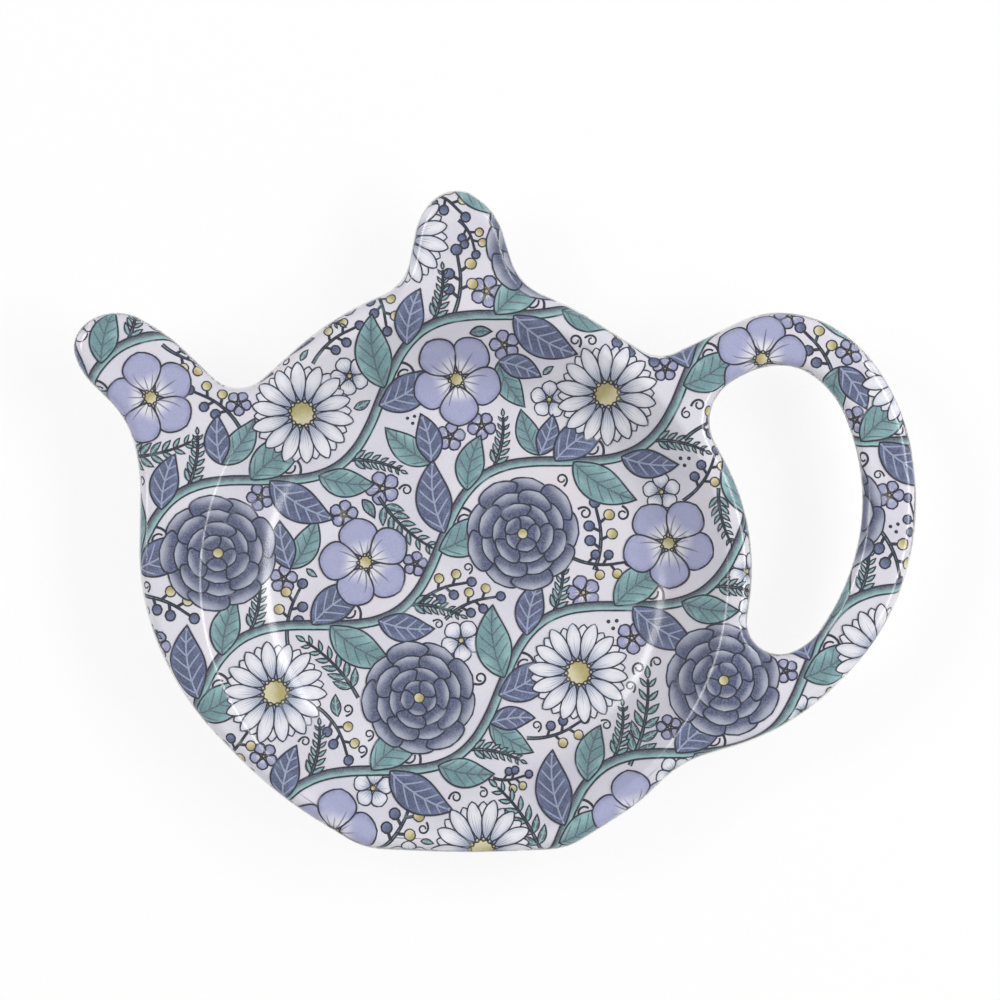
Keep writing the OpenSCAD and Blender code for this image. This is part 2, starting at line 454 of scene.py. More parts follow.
class ShellBuilder:
    """Builds one closed shell of the tray out of swept bands and flat fills.

    Args:
        tray: the tray that the shell follows.
    """

    SHARP = math.radians(50)

    def __init__(self, tray: Tray) -> None:
        """Starts with an empty mesh."""
        self.tray, self.bm = tray, bmesh.new()

    def band(self, rows: Sequence[Array]) -> tuple[Ring, Ring]:
        """Sweeps a closed band from row to row.

        Args:
            rows: the places that the points of each ring take.

        Returns:
            The first ring and the last one, in the rows' order.
        """
        first = verts = bmesh.ops.create_circle(self.bm, segments=len(rows[0]), radius=1.0)["verts"]
        for vert, point in zip(verts, rows[0], strict=True):
            vert.co = point
        for row in rows[1:]:
            order = {vert: i for i, vert in enumerate(verts)}
            made = bmesh.ops.extrude_edge_only(self.bm, edges=self.edges(verts))["geom"]
            fresh: list = [None] * len(verts)
            for vert in (item for item in made if isinstance(item, bmesh.types.BMVert)):
                old = next(e.other_vert(vert) for e in vert.link_edges if e.other_vert(vert) in order)
                fresh[order[old]] = vert
                vert.co = row[order[old]]
            verts = fresh
        return first, verts

    def edge_bands(self, section: Sequence[Spot]) -> tuple[tuple[Ring, ...], ...]:
        """Sweeps a section round both outlines.

        Args:
            section: its insets and heights.

        Returns:
            The first ring round each outline, and the last ring round each.
        """
        return tuple(zip(*(self.band([outline.drawn_in(*spot) for spot in section])
                           for outline in self.tray.outlines)))

    def well(self, depth: float) -> Ring:
        """Builds the well's face at a depth, and gives the ring where it meets the flat."""
        start, end = self.band(self.tray.well_rows(depth))
        self.cap(end)
        return start

    def edges(self, ring: Ring) -> list[bmesh.types.BMEdge]:
        """The edges of a ring."""
        return [self.bm.edges.get((ring[i - 1], ring[i])) for i in range(len(ring))]

    def fill(self, *rings: Ring) -> None:
        """Fills the flat between some rings."""
        edges = [edge for ring in rings for edge in self.edges(ring)]
        bmesh.ops.triangle_fill(self.bm, use_beauty=True, edges=edges)

    def cap(self, ring: Ring) -> None:
        """Closes a flat ring with a fan."""
        faces = bmesh.ops.contextual_create(self.bm, geom=self.edges(ring))["faces"]
        bmesh.ops.poke(self.bm, faces=faces)

    def mesh(self, name: str) -> bpy.types.Mesh:
        """Turns the faces outwards and makes the mesh, in metres.

        Args:
            name: its name.

        Returns:
            The finished mesh.
        """
        bmesh.ops.recalc_face_normals(self.bm, faces=self.bm.faces)
        open_edges = sum(1 for edge in self.bm.edges if len(edge.link_faces) != 2)
        LOG.info("%s: %d faces, %d open edges", name, len(self.bm.faces), open_edges)
        bmesh.ops.scale(self.bm, vec=(MM, MM, MM), verts=self.bm.verts)
        mesh = smooth_mesh(self.bm, name)
        mesh.set_sharp_from_angle(angle=self.SHARP)
        return mesh


def skin(tray: Tray, name: str, near: float, far: float) -> bpy.types.Mesh:
    """A closed skin of the upper face between two depths, which ends under the rolled edge.

    Args:
        tray: the tray.
        name: the mesh's name.
        near: depth of its outer face.
        far: depth of its inner face.

    Returns:
        The mesh, in metres.
    """
    shell = ShellBuilder(tray)
    outer, inner = shell.edge_bands(tray.roll_curve(near) + tray.roll_curve(far)[::-1])
    shell.fill(*outer, shell.well(near))
    shell.fill(*inner, shell.well(far))
    return shell.mesh(name)


# Shader expressions


def shade(code: int) -> tuple[float, float, float, float]:
    """The linear colour of a screen colour such as 0xE1DEE8."""
    parts = ((code >> shift & 255) / 255 for shift in (16, 8, 0))
    return (*(c / 12.92 if c <= 0.04045 else ((c + 0.055) / 1.055) ** 2.4 for c in parts), 1.0)


def operator(name: str, turned: bool = False) -> "Callable[[Value, Value | float], Value]":
    """An operator of Value.

    Args:
        name: the Math node's operation.
        turned: whether its inputs change places, as a reflected operator's do.

    Returns:
        The method.
    """

    def apply(self: "Value", other: "Value | float") -> "Value":
        """Adds the node for this value and another."""
        return self.tree.maths(name, *((other, self) if turned else (self, other)))

    return apply


class Value:
    """A shader socket that Python's operators work on.

    Args:
        tree: the node tree that it is part of.
        socket: the output socket.
    """

    def __init__(self, tree: "Tree", socket: bpy.types.NodeSocket) -> None:
        """Keeps the socket and its tree."""
        self.tree, self.socket = tree, socket

    __add__ = __radd__ = operator("ADD")
    __sub__, __rsub__ = operator("SUBTRACT"), operator("SUBTRACT", turned=True)
    __mul__ = __rmul__ = operator("MULTIPLY")
    __truediv__, __pow__, __mod__ = operator("DIVIDE"), operator("POWER"), operator("FLOORED_MODULO")
    most = operator("MAXIMUM")

    def __abs__(self) -> "Value":
        """Size without sign."""
        return self.tree.maths("ABSOLUTE", self)

    def __floor__(self) -> "Value":
        """The next whole number below."""
        return self.tree.maths("FLOOR", self)

    def rise(self, low: float, high: float) -> "Value":
        """A smooth rise between two values, or a fall where the first is the larger one.

        Args:
            low: where it is 0.
            high: where it is 1.

        Returns:
            The value between 0 and 1.
        """
        made = self.tree.make("ShaderNodeMapRange", {"interpolation_type": "SMOOTHSTEP"},
                              {"Value": self, "From Min": min(low, high), "From Max": max(low, high)})
        return 1 - made if low > high else made

    def teeth(self, count: float, phase: float = 0.0) -> "Value":
        """Distance, up to a half, from the middles of so many stripes."""
        return abs((self * count + phase) % 1.0 - 0.5)


class Tree:
    """The node tree of one material.

    Args:
        name: the material's name.
    """

    DULL = {"Roughness": 0.5, "Specular IOR Level": 0.15}

    def __init__(self, name: str) -> None:
        """Makes an empty material with an output."""
        self.material = bpy.data.materials.new(name)
        self.material.use_nodes = True
        self.nodes = self.material.node_tree.nodes
        self.links = self.material.node_tree.links
        self.nodes.clear()
        self.output = self.nodes.new("ShaderNodeOutputMaterial")

    def make(self, kind: str, settings: dict | None = None, inputs: dict | None = None,
             out: str | int = 0) -> Value:
        """Adds a node.

        Args:
            kind: the node's type.
            settings: its own settings, set first.
            inputs: values or links of its sockets, by name or place.
            out: the output that is wanted.

        Returns:
            The output as a value.
        """
        node = self.nodes.new(kind)
        for key, setting in (settings or {}).items():
            setattr(node, key, setting)
        for key, given in (inputs or {}).items():
            if isinstance(given, Value):
                self.links.new(given.socket, node.inputs[key])
            else:
                node.inputs[key].default_value = given
        return Value(self, node.outputs[out])

    def maths(self, operation: str, *inputs: Value | float) -> Value:
        """A Math node on some values."""
        return self.make("ShaderNodeMath", {"operation": operation}, dict(enumerate(inputs)))

    def reading(self, name: str) -> Value:
        """A number that the mesh holds at every point."""
        return self.make("ShaderNodeAttribute", {"attribute_name": name}, out="Fac")

    def noise(self, size: float, detail: float = 2.0, seed: float = 0.0) -> Value:
        """Soft noise between 0 and 1 whose blobs are so many millimetres across."""
        places = self.make("ShaderNodeTexCoord", out="Object")
        return self.make("ShaderNodeTexNoise", {"noise_dimensions": "4D"},
                         {"Vector": places, "W": seed, "Scale": 1 / (size * MM), "Detail": detail})

    def tint(self, share: Value, first: Value | int, second: Value | int) -> Value:
        """A colour between two, by share; a whole number stands for a screen colour."""
        first, second = (shade(end) if isinstance(end, int) else end for end in (first, second))
        return self.make("ShaderNodeMix", {"data_type": "RGBA"}, {0: share, 6: first, 7: second}, 2)

    def bump(self, height: Value, distance: float) -> Value:
        """A normal from a height between 0 and 1 that stands for so many millimetres."""
        return self.make("ShaderNodeBump", None, {"Height": height, "Distance": distance * MM})

    def finish(self, kind: str, inputs: dict | None = None) -> bpy.types.Material:
        """Ends the tree with a shader of a kind."""
        self.links.new(self.make(kind, None, inputs).socket, self.output.inputs["Surface"])
        return self.material


# Finishes of the solids


@dataclass(frozen=True)
class WhiteMelamine:
    """Moulded white melamine: glossy, a little cloudy, with faint flow marks and pin specks."""

    name: str = "white_melamine"
    light: int = 0xF2F1F0
    dark: int = 0xEBEAEB
    speck: int = 0xC9C6C4
    speck_size: float = 0.35
    speck_share: float = 0.35
    gloss: float = 0.2
    uneven: float = 0.06
    cloud: float = 14.0
    flow: float = 5.0
    relief: float = 0.012
    ior: float = 1.6

    def build(self) -> bpy.types.Material:
        """Makes the material."""
        tree = Tree(self.name)
        cloud, flow = tree.noise(self.cloud), tree.noise(self.flow, seed=2.0)
        speck = tree.noise(self.speck_size, 1.0, 5.0).rise(0.78, 0.84)
        colour = tree.tint(cloud.rise(0.3, 0.7), self.light, self.dark)
        colour = tree.tint(speck * self.speck_share, colour, self.speck)
        return tree.finish("ShaderNodeBsdfPrincipled", {
            "Base Color": colour, "Roughness": self.gloss + flow * self.uneven, "IOR": self.ior,
            "Normal": tree.bump(flow, self.relief)})


@dataclass(frozen=True)
class PaperGround:
    """The print's off-white ground: a lavender paper tone with a soft wash and a fine screen."""

    name: str = "printed_ground"
    light: int = 0xDBD9E1
    dark: int = 0xCFCED9
    wash: float = 11.0
    warm: int = 0xDDD6DC
    warm_size: float = 16.0
    warm_share: float = 0.7
    grain: int = 0xBFBECC
    grain_size: float = 0.22
    grain_share: float = 0.16

    def build(self) -> bpy.types.Material:
        """Makes the material."""
        tree = Tree(self.name)
        wash, warmth = tree.noise(self.wash, 3.0), tree.noise(self.warm_size, seed=3.0)
        screen = tree.noise(self.grain_size, 1.0, 7.0).rise(0.5, 0.75)
        colour = tree.tint(wash.rise(0.35, 0.7), self.light, self.dark)
        colour = tree.tint(warmth.rise(0.5, 0.72) * self.warm_share, colour, self.warm)
        colour = tree.tint(screen * self.grain_share, colour, self.grain)
        return tree.finish("ShaderNodeBsdfPrincipled", {"Base Color": colour, **Tree.DULL})


@dataclass(frozen=True)
class ClearGlaze:
    """The clear melamine overlay: see-through head on, with the gloss of its outer face."""

    name: str = "clear_glaze"
    head_on: float = 0.062
    steepness: float = 5.0
    roughness: float = 0.2
    wave: float = 7.0
    relief: float = 0.03

    def build(self) -> bpy.types.Material:
        """Makes the outer face's material."""
        tree = Tree(self.name)
        wave = tree.bump(tree.noise(self.wave), self.relief)
        clear = tree.make("ShaderNodeBsdfTransparent")
        shine = tree.make("ShaderNodeBsdfGlossy", None, {"Roughness": self.roughness, "Normal": wave})
        facing = tree.make("ShaderNodeLayerWeight", None, {"Blend": 0.5, "Normal": wave}, "Facing")
        share = facing ** self.steepness * (1 - self.head_on) + self.head_on
        return tree.finish("ShaderNodeMixShader", {0: share, 1: clear, 2: shine})

    def build_bond(self) -> bpy.types.Material:
        """Makes the material of the face that is cured onto the print, which shows nothing of itself."""
        return Tree(self.name + "_bond").finish("ShaderNodeBsdfTransparent")


# The tray's three layers


@dataclass
class MouldedBody:
    """The white moulding: upper face under the foil, band round the edge, underside and foot ring."""

    tray: Tray
    finish: WhiteMelamine = WhiteMelamine()

    def build(self) -> bpy.types.Object:
        """Builds and dresses the moulding."""
        form, shell = self.tray.form, ShellBuilder(self.tray)
        bevel, under = form.under_bevel, form.flange_under
        section = self.tray.roll_curve(form.skin_t)
        section += [(0.0, form.roll_z), (0.0, (form.roll_z + under + bevel) / 2)]
        section += arc(bevel, under + bevel, -bevel, -bevel, QUARTER, 0, Tray.CORNER_STEPS)
        section += [(bevel + Tray.GUARD, under)]
        tops, unders = shell.edge_bands(section)
        shell.fill(*tops, shell.well(form.skin_t))
        shell.fill(*unders, self._underside(shell))
        return settle(shell.mesh("moulded_body_white"), [self.finish.build()], Node.BODY)

    def _underside(self, shell: ShellBuilder) -> Ring:
        """Builds the outside of the well and the foot ring.

        Args:
            shell: what they are added to.

        Returns:
            The ring where they meet the flange.
        """
        tray, form, slope = self.tray, self.tray.form, self.tray.form.wall_slope
        wall_r = form.wall_top_r + form.well_wall / math.sin(slope) - form.flange_t / math.tan(slope)
        end_r, fillet = wall_r + form.under_fillet * math.tan(slope / 2), form.under_fillet
        under = arc(end_r, form.flange_under - fillet, -fillet, fillet, slope, 0, Tray.UNDER_STEPS)
        outer, small, root = form.foot_d / 2, form.foot_round, form.foot_root
        inner, root_z = outer - form.foot_w, form.foot_h - root
        quarters = ((outer + root, root_z, -root, root, 0, QUARTER),
                    (outer - small, small, small, -small, QUARTER, 0),
                    (inner + small, small, -small, -small, 0, QUARTER),
                    (inner - root, root_z, root, root, QUARTER, 0))
        foot = [tray.circle(*spot) for quarter in quarters for spot in arc(*quarter, Tray.CORNER_STEPS)]
        start, end = shell.band(tray.well_rows(form.well_wall, under) + foot)
        shell.cap(end)
        return start


@dataclass
class PrintedFoil:
    """The decor foil under the print's motifs."""

    tray: Tray
    finish: PaperGround = PaperGround()

    def build(self) -> bpy.types.Object:
        """Builds and dresses the foil."""
        form = self.tray.form
        mesh = skin(self.tray, "printed_foil_ground", form.glaze_t, form.skin_t)
        return settle(mesh, [self.finish.build()], Node.FOIL)


@dataclass
class Glaze:
    """The clear overlay, whose inner face lies a hair off the foil."""

    tray: Tray
    hair: float = 0.004
    upright: float = 0.99
    finish: ClearGlaze = ClearGlaze()

    def build(self) -> bpy.types.Object:
        """Builds and dresses the overlay."""
        mesh = skin(self.tray, "clear_glaze_coat", 0.0, self.tray.form.glaze_t - self.hair)
        for face in mesh.polygons:
            face.material_index = int(self._inner(face))
        return settle(mesh, [self.finish.build(), self.finish.build_bond()], Node.GLAZE)

    def _inner(self, face: bpy.types.MeshPolygon) -> bool:
        """True for a face that looks at the print, and for the narrow ledge at the foot of the roll."""
        at_foot = abs(face.center.z - self.tray.form.roll_z * MM) < self.hair * MM
        return face.normal.z < 0 or (at_foot and face.normal.z > self.upright)


# Finishes of the print


class Hue(IntEnum):
    """The print's colours, as they look on a screen."""

    INK = 0x272B3A
    NAVY = 0x434C6E
    BLUE = 0x626E93
    SKY = 0x9CA9C4
    SLATE = 0x434D5C
    TEAL = 0x5E878C
    AQUA = 0x8FB8B9
    LAVENDER = 0x9FA2C4
    VIOLET = 0x66618E
    WHITE = 0xE4E3E9
    PEARL = 0xC8CBD8
    OCHRE = 0xA89C5C
    STRAW = 0xCFC99F


@dataclass(frozen=True)
class PrintFinish:
    """What all printed shapes share: an inked outline of uneven weight, a fine screen and a dull face."""

    line: float = 0.25
    blur: float = 0.045
    waver: float = 0.15
    waver_size: float = 0.9
    pressure_size: float = 2.4
    pressure_share: float = 0.35
    screen: float = 0.12
    screen_size: float = 0.2

    def stroke(self, tree: Tree, distance: Value, width: float) -> Value:
        """How much ink lies at a distance, in millimetres, from the middle of a hand-drawn line."""
        waver = (tree.noise(self.waver_size, seed=11.0) - 0.5) * (self.waver * width / self.line)
        return (distance + waver).rise(width + self.blur, width - self.blur)

    def colour(self, tree: Tree) -> Value:
        """The shape's colour inside its outline."""
        raise NotImplementedError

    def drawing(self, tree: Tree) -> Value | float:
        """The ink drawn inside the outline, between 0 and 1."""
        return 0.0

    def build(self, name: str) -> bpy.types.Material:
        """Makes the material.

        Args:
            name: its name.

        Returns:
            The material.
        """
        tree = Tree(name)
        grain = tree.noise(self.screen_size, 1.0, 7.0).rise(0.35, 0.7)
        colour = tree.tint(grain * self.screen, self.colour(tree), Hue.WHITE)
        pressure = tree.noise(self.pressure_size, 1.0, 13.0).rise(0.28, 0.42)
        outline = self.stroke(tree, tree.reading("edge"), self.line)
        outline *= pressure * self.pressure_share + (1 - self.pressure_share)
        colour = tree.tint(outline.most(self.drawing(tree)), colour, Hue.INK)
        return tree.finish("ShaderNodeBsdfPrincipled", {"Base Color": colour, **Tree.DULL})


@dataclass(frozen=True)
class PlainInk(PrintFinish):
    """Stems, tendrils, berries and flower middles: one colour that darkens to one side."""

    light: Hue = Hue.AQUA
    dark: Hue = Hue.TEAL
    mottle: float = 0.8

    def colour(self, tree: Tree) -> Value:
        """The lighter colour on one side and the darker on the other, a little mottled."""
        side = tree.reading("across") + tree.noise(1.4, seed=4.0) * self.mottle
        return tree.tint(side.rise(-0.3, 1.0), self.light, self.dark)


@dataclass(frozen=True)
class LeafInk(PrintFinish):
    """Plain leaves of one colour, with a midrib and side veins in another."""

    light: Hue = Hue.BLUE
    dark: Hue = Hue.NAVY
    vein: Hue = Hue.SKY
    vein_share: float = 0.8
    rib_width: float = 0.12

    def colour(self, tree: Tree) -> Value:
        """A mottled colour, deeper beside the midrib, and the veins."""
        across, along, wide = (tree.reading(name) for name in ("across", "along", "wide"))
        aside = abs(across)
        mottle = tree.noise(2.2, 3.0, 8.0).rise(0.3, 0.7)
        colour = tree.tint(mottle * aside.rise(0.0, 0.9), self.dark, self.light)
        rib = self.stroke(tree, aside * wide, self.rib_width) * along.rise(0.98, 0.85)
        side = tree.reading("run").teeth(1.0).rise(0.12, 0.05) * aside.rise(0.88, 0.68)
        return tree.tint(rib.most(side * along.rise(0.04, 0.12)) * self.vein_share, colour, self.vein)


@dataclass(frozen=True)
class PetalInk(PrintFinish):
    """Petals that turn from one colour at the foot into another at the rim, with a few fine lines."""

    foot: Hue = Hue.NAVY
    rim: Hue = Hue.PEARL
    shadow: Hue = Hue.BLUE
    shadow_share: float = 0.45
    turn: Spot = (0.3, 1.0)
    lines: float = 3.0
    line_half: float = 0.2
    line_soft: float = 0.06
    line_ends: Spot = (0.35, 0.75)
    line_share: float = 0.7

    def colour(self, tree: Tree) -> Value:
        """The foot's colour, the rim's, and a shadow along the sides."""
        along, edge = tree.reading("along"), tree.reading("edge")
        mottle = tree.noise(1.6, seed=4.0)
        colour = tree.tint((along + mottle * 0.2).rise(*self.turn), self.foot, self.rim)
        shadow = edge.rise(1.0, 0.15) * mottle.rise(0.3, 0.6)
        return tree.tint(shadow * self.shadow_share, colour, self.shadow)

    def drawing(self, tree: Tree) -> Value:
        """Fine pointed lines of different lengths that rise from the foot side by side."""
        across, (short, long) = tree.reading("across"), self.line_ends
        seat = tree.make("ShaderNodeCombineXYZ", None, {
            0: math.floor(across * self.lines + 0.5), 1: tree.reading("tone") * 91.0})
        chance = tree.make("ShaderNodeTexWhiteNoise", {"noise_dimensions": "2D"}, {"Vector": seat}, "Value")
        left = (1 - tree.reading("along") / (chance * (long - short) + short)).most(0.0)
        lines = (left * self.line_half - across.teeth(self.lines, 0.5)).rise(-self.line_soft, self.line_soft)
        return lines * left.rise(0.0, 0.15) * self.line_share


class Ink(Enum):
    """The kinds of printed shapes; each is one piece with one finish."""

    STEM = PlainInk(light=Hue.AQUA, dark=Hue.SLATE)
    TENDRIL = PlainInk(light=Hue.SLATE, dark=Hue.INK)
    NAVY_LEAF = LeafInk()
    TEAL_LEAF = LeafInk(light=Hue.AQUA, dark=Hue.TEAL, vein=Hue.SLATE)
    FERN = LeafInk(line=0.19, light=Hue.TEAL, dark=Hue.SLATE, vein=Hue.AQUA)
    CAMELLIA = PetalInk(turn=(0.62, 1.15), lines=4.0)
    DAISY = PetalInk(line=0.21, foot=Hue.SKY, rim=Hue.WHITE, shadow=Hue.SKY, turn=(0.1, 0.7))
    BLOSSOM = PetalInk(foot=Hue.WHITE, rim=Hue.LAVENDER, shadow=Hue.VIOLET, turn=(0.2, 0.6), lines=2.0)
    OCHRE = PlainInk(line=0.19, light=Hue.STRAW, dark=Hue.OCHRE)
    BERRY = PlainInk(light=Hue.BLUE, dark=Hue.NAVY)


# Shapes of the print


class Form(Enum):
    """How the half-width of a printed shape runs along it; petals and leaves have the powers of a sine."""

    PETAL = (1.3, 0.6)
    LEAF = (0.85, 0.95)
    RIBBON = "ribbon"
    DISC = "disc"


class Spine:
    """A smooth line through a few places of the plan, measured along its length."""

    STEPS = 14

    def __init__(self, knots: Sequence[Spot]) -> None:
        """Threads the line through the knots."""
        p = np.array(knots, float)
        ends = np.vstack([2 * p[:1] - p[1:2], p, 2 * p[-1:] - p[-2:-1]])
        t = np.linspace(0, 1, self.STEPS, endpoint=False)[:, None]
        parts = [(2 * b + (c - a) * t + (2 * a - 5 * b + 4 * c - d) * t ** 2
                  + (3 * b - a - 3 * c + d) * t ** 3) / 2
                 for a, b, c, d in zip(ends, ends[1:], ends[2:], ends[3:])]
        self.line = np.vstack([*parts, p[-1:]])
        self.run = np.concatenate([[0.0], np.cumsum(np.hypot(*np.diff(self.line, axis=0).T))])
        self.length = float(self.run[-1])
        way = np.gradient(self.line, self.run, axis=0)
        way /= np.hypot(*way.T)[:, None]
        self.side = np.column_stack([-way[:, 1], way[:, 0]])

    def at(self, share: Array) -> tuple[Array, Array]:
        """Places and sideways directions at shares of the length.

        Args:
            share: the shares.

        Returns:
            Rows of x and y of both.
        """
        run = np.clip(share, 0, 1) * self.length
        spot, side = (np.column_stack([np.interp(run, self.run, table[:, k]) for k in (0, 1)])
                      for table in (self.line, self.side))
        return spot, side / np.hypot(*side.T)[:, None]

    def heading(self, share: float) -> tuple[Spot, float]:
        """A place on the line and its heading there, in radians."""
        spot, side = self.at(np.array([share]))
        return tuple(spot[0]), math.atan2(-side[0, 0], side[0, 1])


@dataclass(frozen=True)
class Blade:
    """One printed shape: a sheet that follows a spine at a half-width that varies along it."""

    ink: Ink
    order: float
    knots: tuple[Spot, ...]
    half: float
    form: Form = Form.PETAL
    veins: int = 0
    taper: float = 1.0
    tone: float = 0.5
    level: int = 0
    FEWEST, MOST, STRETCH = (8, 4), (800, 20), 1.3

    def width(self, along: Array) -> Array:
        """Half-width, as a share of the largest one.

        Args:
            along: 0 at the foot to 1 at the tip.

        Returns:
            The share at each place.
        """
        if self.form is Form.RIBBON:
            return 1 + (self.taper - 1) * along
        if self.form is Form.DISC:
            return 2 * np.sqrt(along * (1 - along))
        lean, fullness = self.form.value
        return np.sin(math.pi * along ** lean) ** fullness

    def places(self, spine: Spine, along: Array, across: Array) -> tuple[Array, Array]:
        """Where points of the sheet lie in the plan.

        Args:
            spine: the shape's spine.
            along: 0 at the foot to 1 at the tip.
            across: -1 at one side to 1 at the other.

        Returns:
            Rows of x and y, and the half-width at each.
        """
        wide = abs(self.half) * self.width(along)
        spot, side = spine.at(along)
        return spot + side * (wide * across * np.sign(self.half))[:, None], wide

    def steps(self, length: float, cell: float) -> tuple[int, int]:
        """How many cells of a size the sheet gets along and across."""
        wanted = (math.ceil(length / cell), 2 * math.ceil(abs(self.half) / cell / self.STRETCH))
        return tuple(max(few, min(most, count)) for few, most, count in zip(self.FEWEST, self.MOST, wanted))

    def cover(self, margin: float, cell: float) -> Array:
        """Points that fill the shape and a margin round it, no further apart than a cell.

        Args:
            margin: the margin.
            cell: the cell's size.

        Returns:
            Rows of x and y.
        """
        spine = Spine(self.knots)
        rows, columns = self.steps(spine.length, cell)
        grids = np.meshgrid(np.linspace(0, 1, rows + 1), np.linspace(-1, 1, columns + 1))
        wider = replace(self, half=self.half + math.copysign(margin, self.half))
        return wider.places(spine, *(grid.ravel() for grid in grids))[0]


def edge_gap(points: Array, line: Array) -> Array:
    """Distance of every point from a line through many places.

    Args:
        points: rows of x and y.
        line: rows of x and y.

    Returns:
        The distances.
    """
    start, span = line[:-1], np.diff(line, axis=0)
    size = (span ** 2).sum(1) + 1e-12
    offset = points[:, None, :] - start[None]
    share = np.clip((offset * span).sum(2) / size, 0, 1)
    return np.sqrt(((offset - share[..., None] * span) ** 2).sum(2).min(1))


@dataclass
class PrintLayer:
    """All printed shapes of one kind, as one piece that lies on the tray."""

    tray: Tray
    ink: Ink
    lift: float
    base: float
    cell: float = 0.32
    margin: float = 0.4
    vein_slope: float = 1.1
    READINGS = ("edge", "across", "along", "run", "wide", "tone", "level")

    def build(self, blades: Sequence[Blade]) -> bpy.types.Object:
        """Builds and dresses the layer.

        Args:
            blades: its shapes.

        Returns:
            The piece.
        """
        bm = bmesh.new()
        layers = [bm.verts.layers.float.new(name) for name in self.READINGS]
        for blade in blades:
            self._sheet(bm, layers, blade)
        self._refine(bm)
        levels = np.array([vert[layers[-1]] for vert in bm.verts])
        depth = self.tray.form.glaze_t - self.base - self.lift * levels
        spots, lost = self.tray.lay(self._plan(bm), depth)
        for vert, spot in zip(bm.verts, spots * MM, strict=True):
            vert.co = spot
        gone = {vert for vert, past in zip(bm.verts, lost, strict=True) if past}
        faces = [face for face in bm.faces if gone.issuperset(face.verts)]
        bmesh.ops.delete(bm, geom=faces, context="FACES")
        name = "print_" + self.ink.name.lower()
        return settle(smooth_mesh(bm, name), [self.ink.value.build(name)], Node.FOIL)

    def _plan(self, bm: bmesh.types.BMesh) -> Array:
        """Rows of x and y of all points."""
        return np.array([vert.co[:2] for vert in bm.verts])

    def _refine(self, bm: bmesh.types.BMesh) -> None:
        """Halves the cells where the tray's face bends tightly, so that the sheets follow it there."""
        found = self.tray.tight(self._plan(bm), self.margin)
        bent = {vert for vert, is_tight in zip(bm.verts, found, strict=True) if is_tight}
        edges = [edge for edge in bm.edges if not bent.isdisjoint(edge.verts)]
        bmesh.ops.subdivide_edges(bm, edges=edges, cuts=1, use_grid_fill=True)

    def _sheet(self, bm: bmesh.types.BMesh, layers: Sequence[bmesh.types.BMLayerItem], blade: Blade) -> None:
        """Adds one shape's sheet, flat in the plan.

        Args:
            bm: what it is added to.
            layers: where its points keep their readings.
            blade: the shape.
        """
        spine = Spine(blade.knots)
        cells = blade.steps(spine.length, self.cell)
        made = bmesh.ops.create_grid(bm, x_segments=cells[0], y_segments=cells[1], size=1.0)["verts"]
        share = np.array([vert.co[:2] for vert in made])
        along, across = np.clip((share[:, 0] + 1) / 2, 0, 1), np.clip(share[:, 1], -1, 1)
        plan, wide = blade.places(spine, along, across)
        fine = np.linspace(0, 1, cells[0] * 2 + 1)
        edge = np.minimum(*(edge_gap(plan, blade.places(spine, fine, np.full_like(fine, side))[0])
                            for side in (-1.0, 1.0)))
        run = blade.veins * (along - self.vein_slope * np.abs(across) * wide / spine.length)
        if blade.half < 0:
            bmesh.ops.reverse_faces(bm, faces=list({face for vert in made for face in vert.link_faces}))
        same = [np.full_like(along, value) for value in (blade.tone, blade.level)]
        values = np.column_stack([edge, across, along, run, wide, *same])
        for vert, spot, row in zip(made, plan, values.tolist(), strict=True):
            vert.co = (*spot, 0.0)
            for layer, value in zip(layers, row, strict=True):
                vert[layer] = value


# Motifs of the print

ORIGIN = (0.0, 0.0)
STALK, FOLIAGE, BLOSSOM = 100.0, 200.0, 300.0
VEIN_SPACE = 1.7
FROND_BEND, FROND_PAIRS = 30.0, 6
BERRY_STALK, BERRY_RADIUS = 1.8, 0.85


def polar(spot: Spot, radius: float, angle: float) -> Spot:
    """A place at a distance and an angle in degrees from another."""
    turn = math.radians(angle)
    return spot[0] + radius * math.cos(turn), spot[1] + radius * math.sin(turn)


def bent(start: Spot, angle: float, length: float, bend: float, power: float = 1.0,
         count: int = 6) -> tuple[Spot, ...]:
    """Knots of a line that turns.

    Args:
        start: its first knot.
        angle: where it heads at first, in degrees.
        length: its length.
        bend: how far it turns, in degrees.
        power: 1 for an even turn, and more for one that comes mostly at the end.
        count: how many knots follow the first.

    Returns:
        The knots.
    """
    knots = [start]
    for i in range(count):
        knots.append(polar(knots[-1], length / count, angle + bend * ((i + 0.5) / count) ** power))
    return tuple(knots)


def moved(blades: Sequence[Blade], turn: float, scale: float = 1.0, flip: float = 1.0,
          spot: Spot = ORIGIN, order: float = 0.0, tone: float = 0.0) -> list[Blade]:
    """Puts shapes elsewhere.

    Args:
        blades: the shapes, drawn about the origin.
        turn: the angle that they turn by, in radians.
        scale: their scale.
        flip: -1 to mirror them.
        spot: where the origin goes.
        order: how much higher up they lie.
        tone: what is added to their tones.

    Returns:
        The new shapes.
    """
    cos, sin = math.cos(turn) * scale, math.sin(turn) * scale
    return [replace(blade, half=blade.half * scale * flip, order=blade.order + order,
                    tone=(blade.tone + tone) % 1.0,
                    knots=tuple((spot[0] + x * cos - y * flip * sin, spot[1] + x * sin + y * flip * cos)
                                for x, y in blade.knots)) for blade in blades]


def leaf(ink: Ink, length: float, angle: float = 0.0, bend: float = -25.0, slender: float = 0.24,
         order: float = FOLIAGE, spot: Spot = ORIGIN) -> list[Blade]:
    """A plain pointed leaf."""
    return [Blade(ink, order, bent(spot, angle, length, bend), length * slender, Form.LEAF,
                  veins=max(3, round(length / VEIN_SPACE)))]


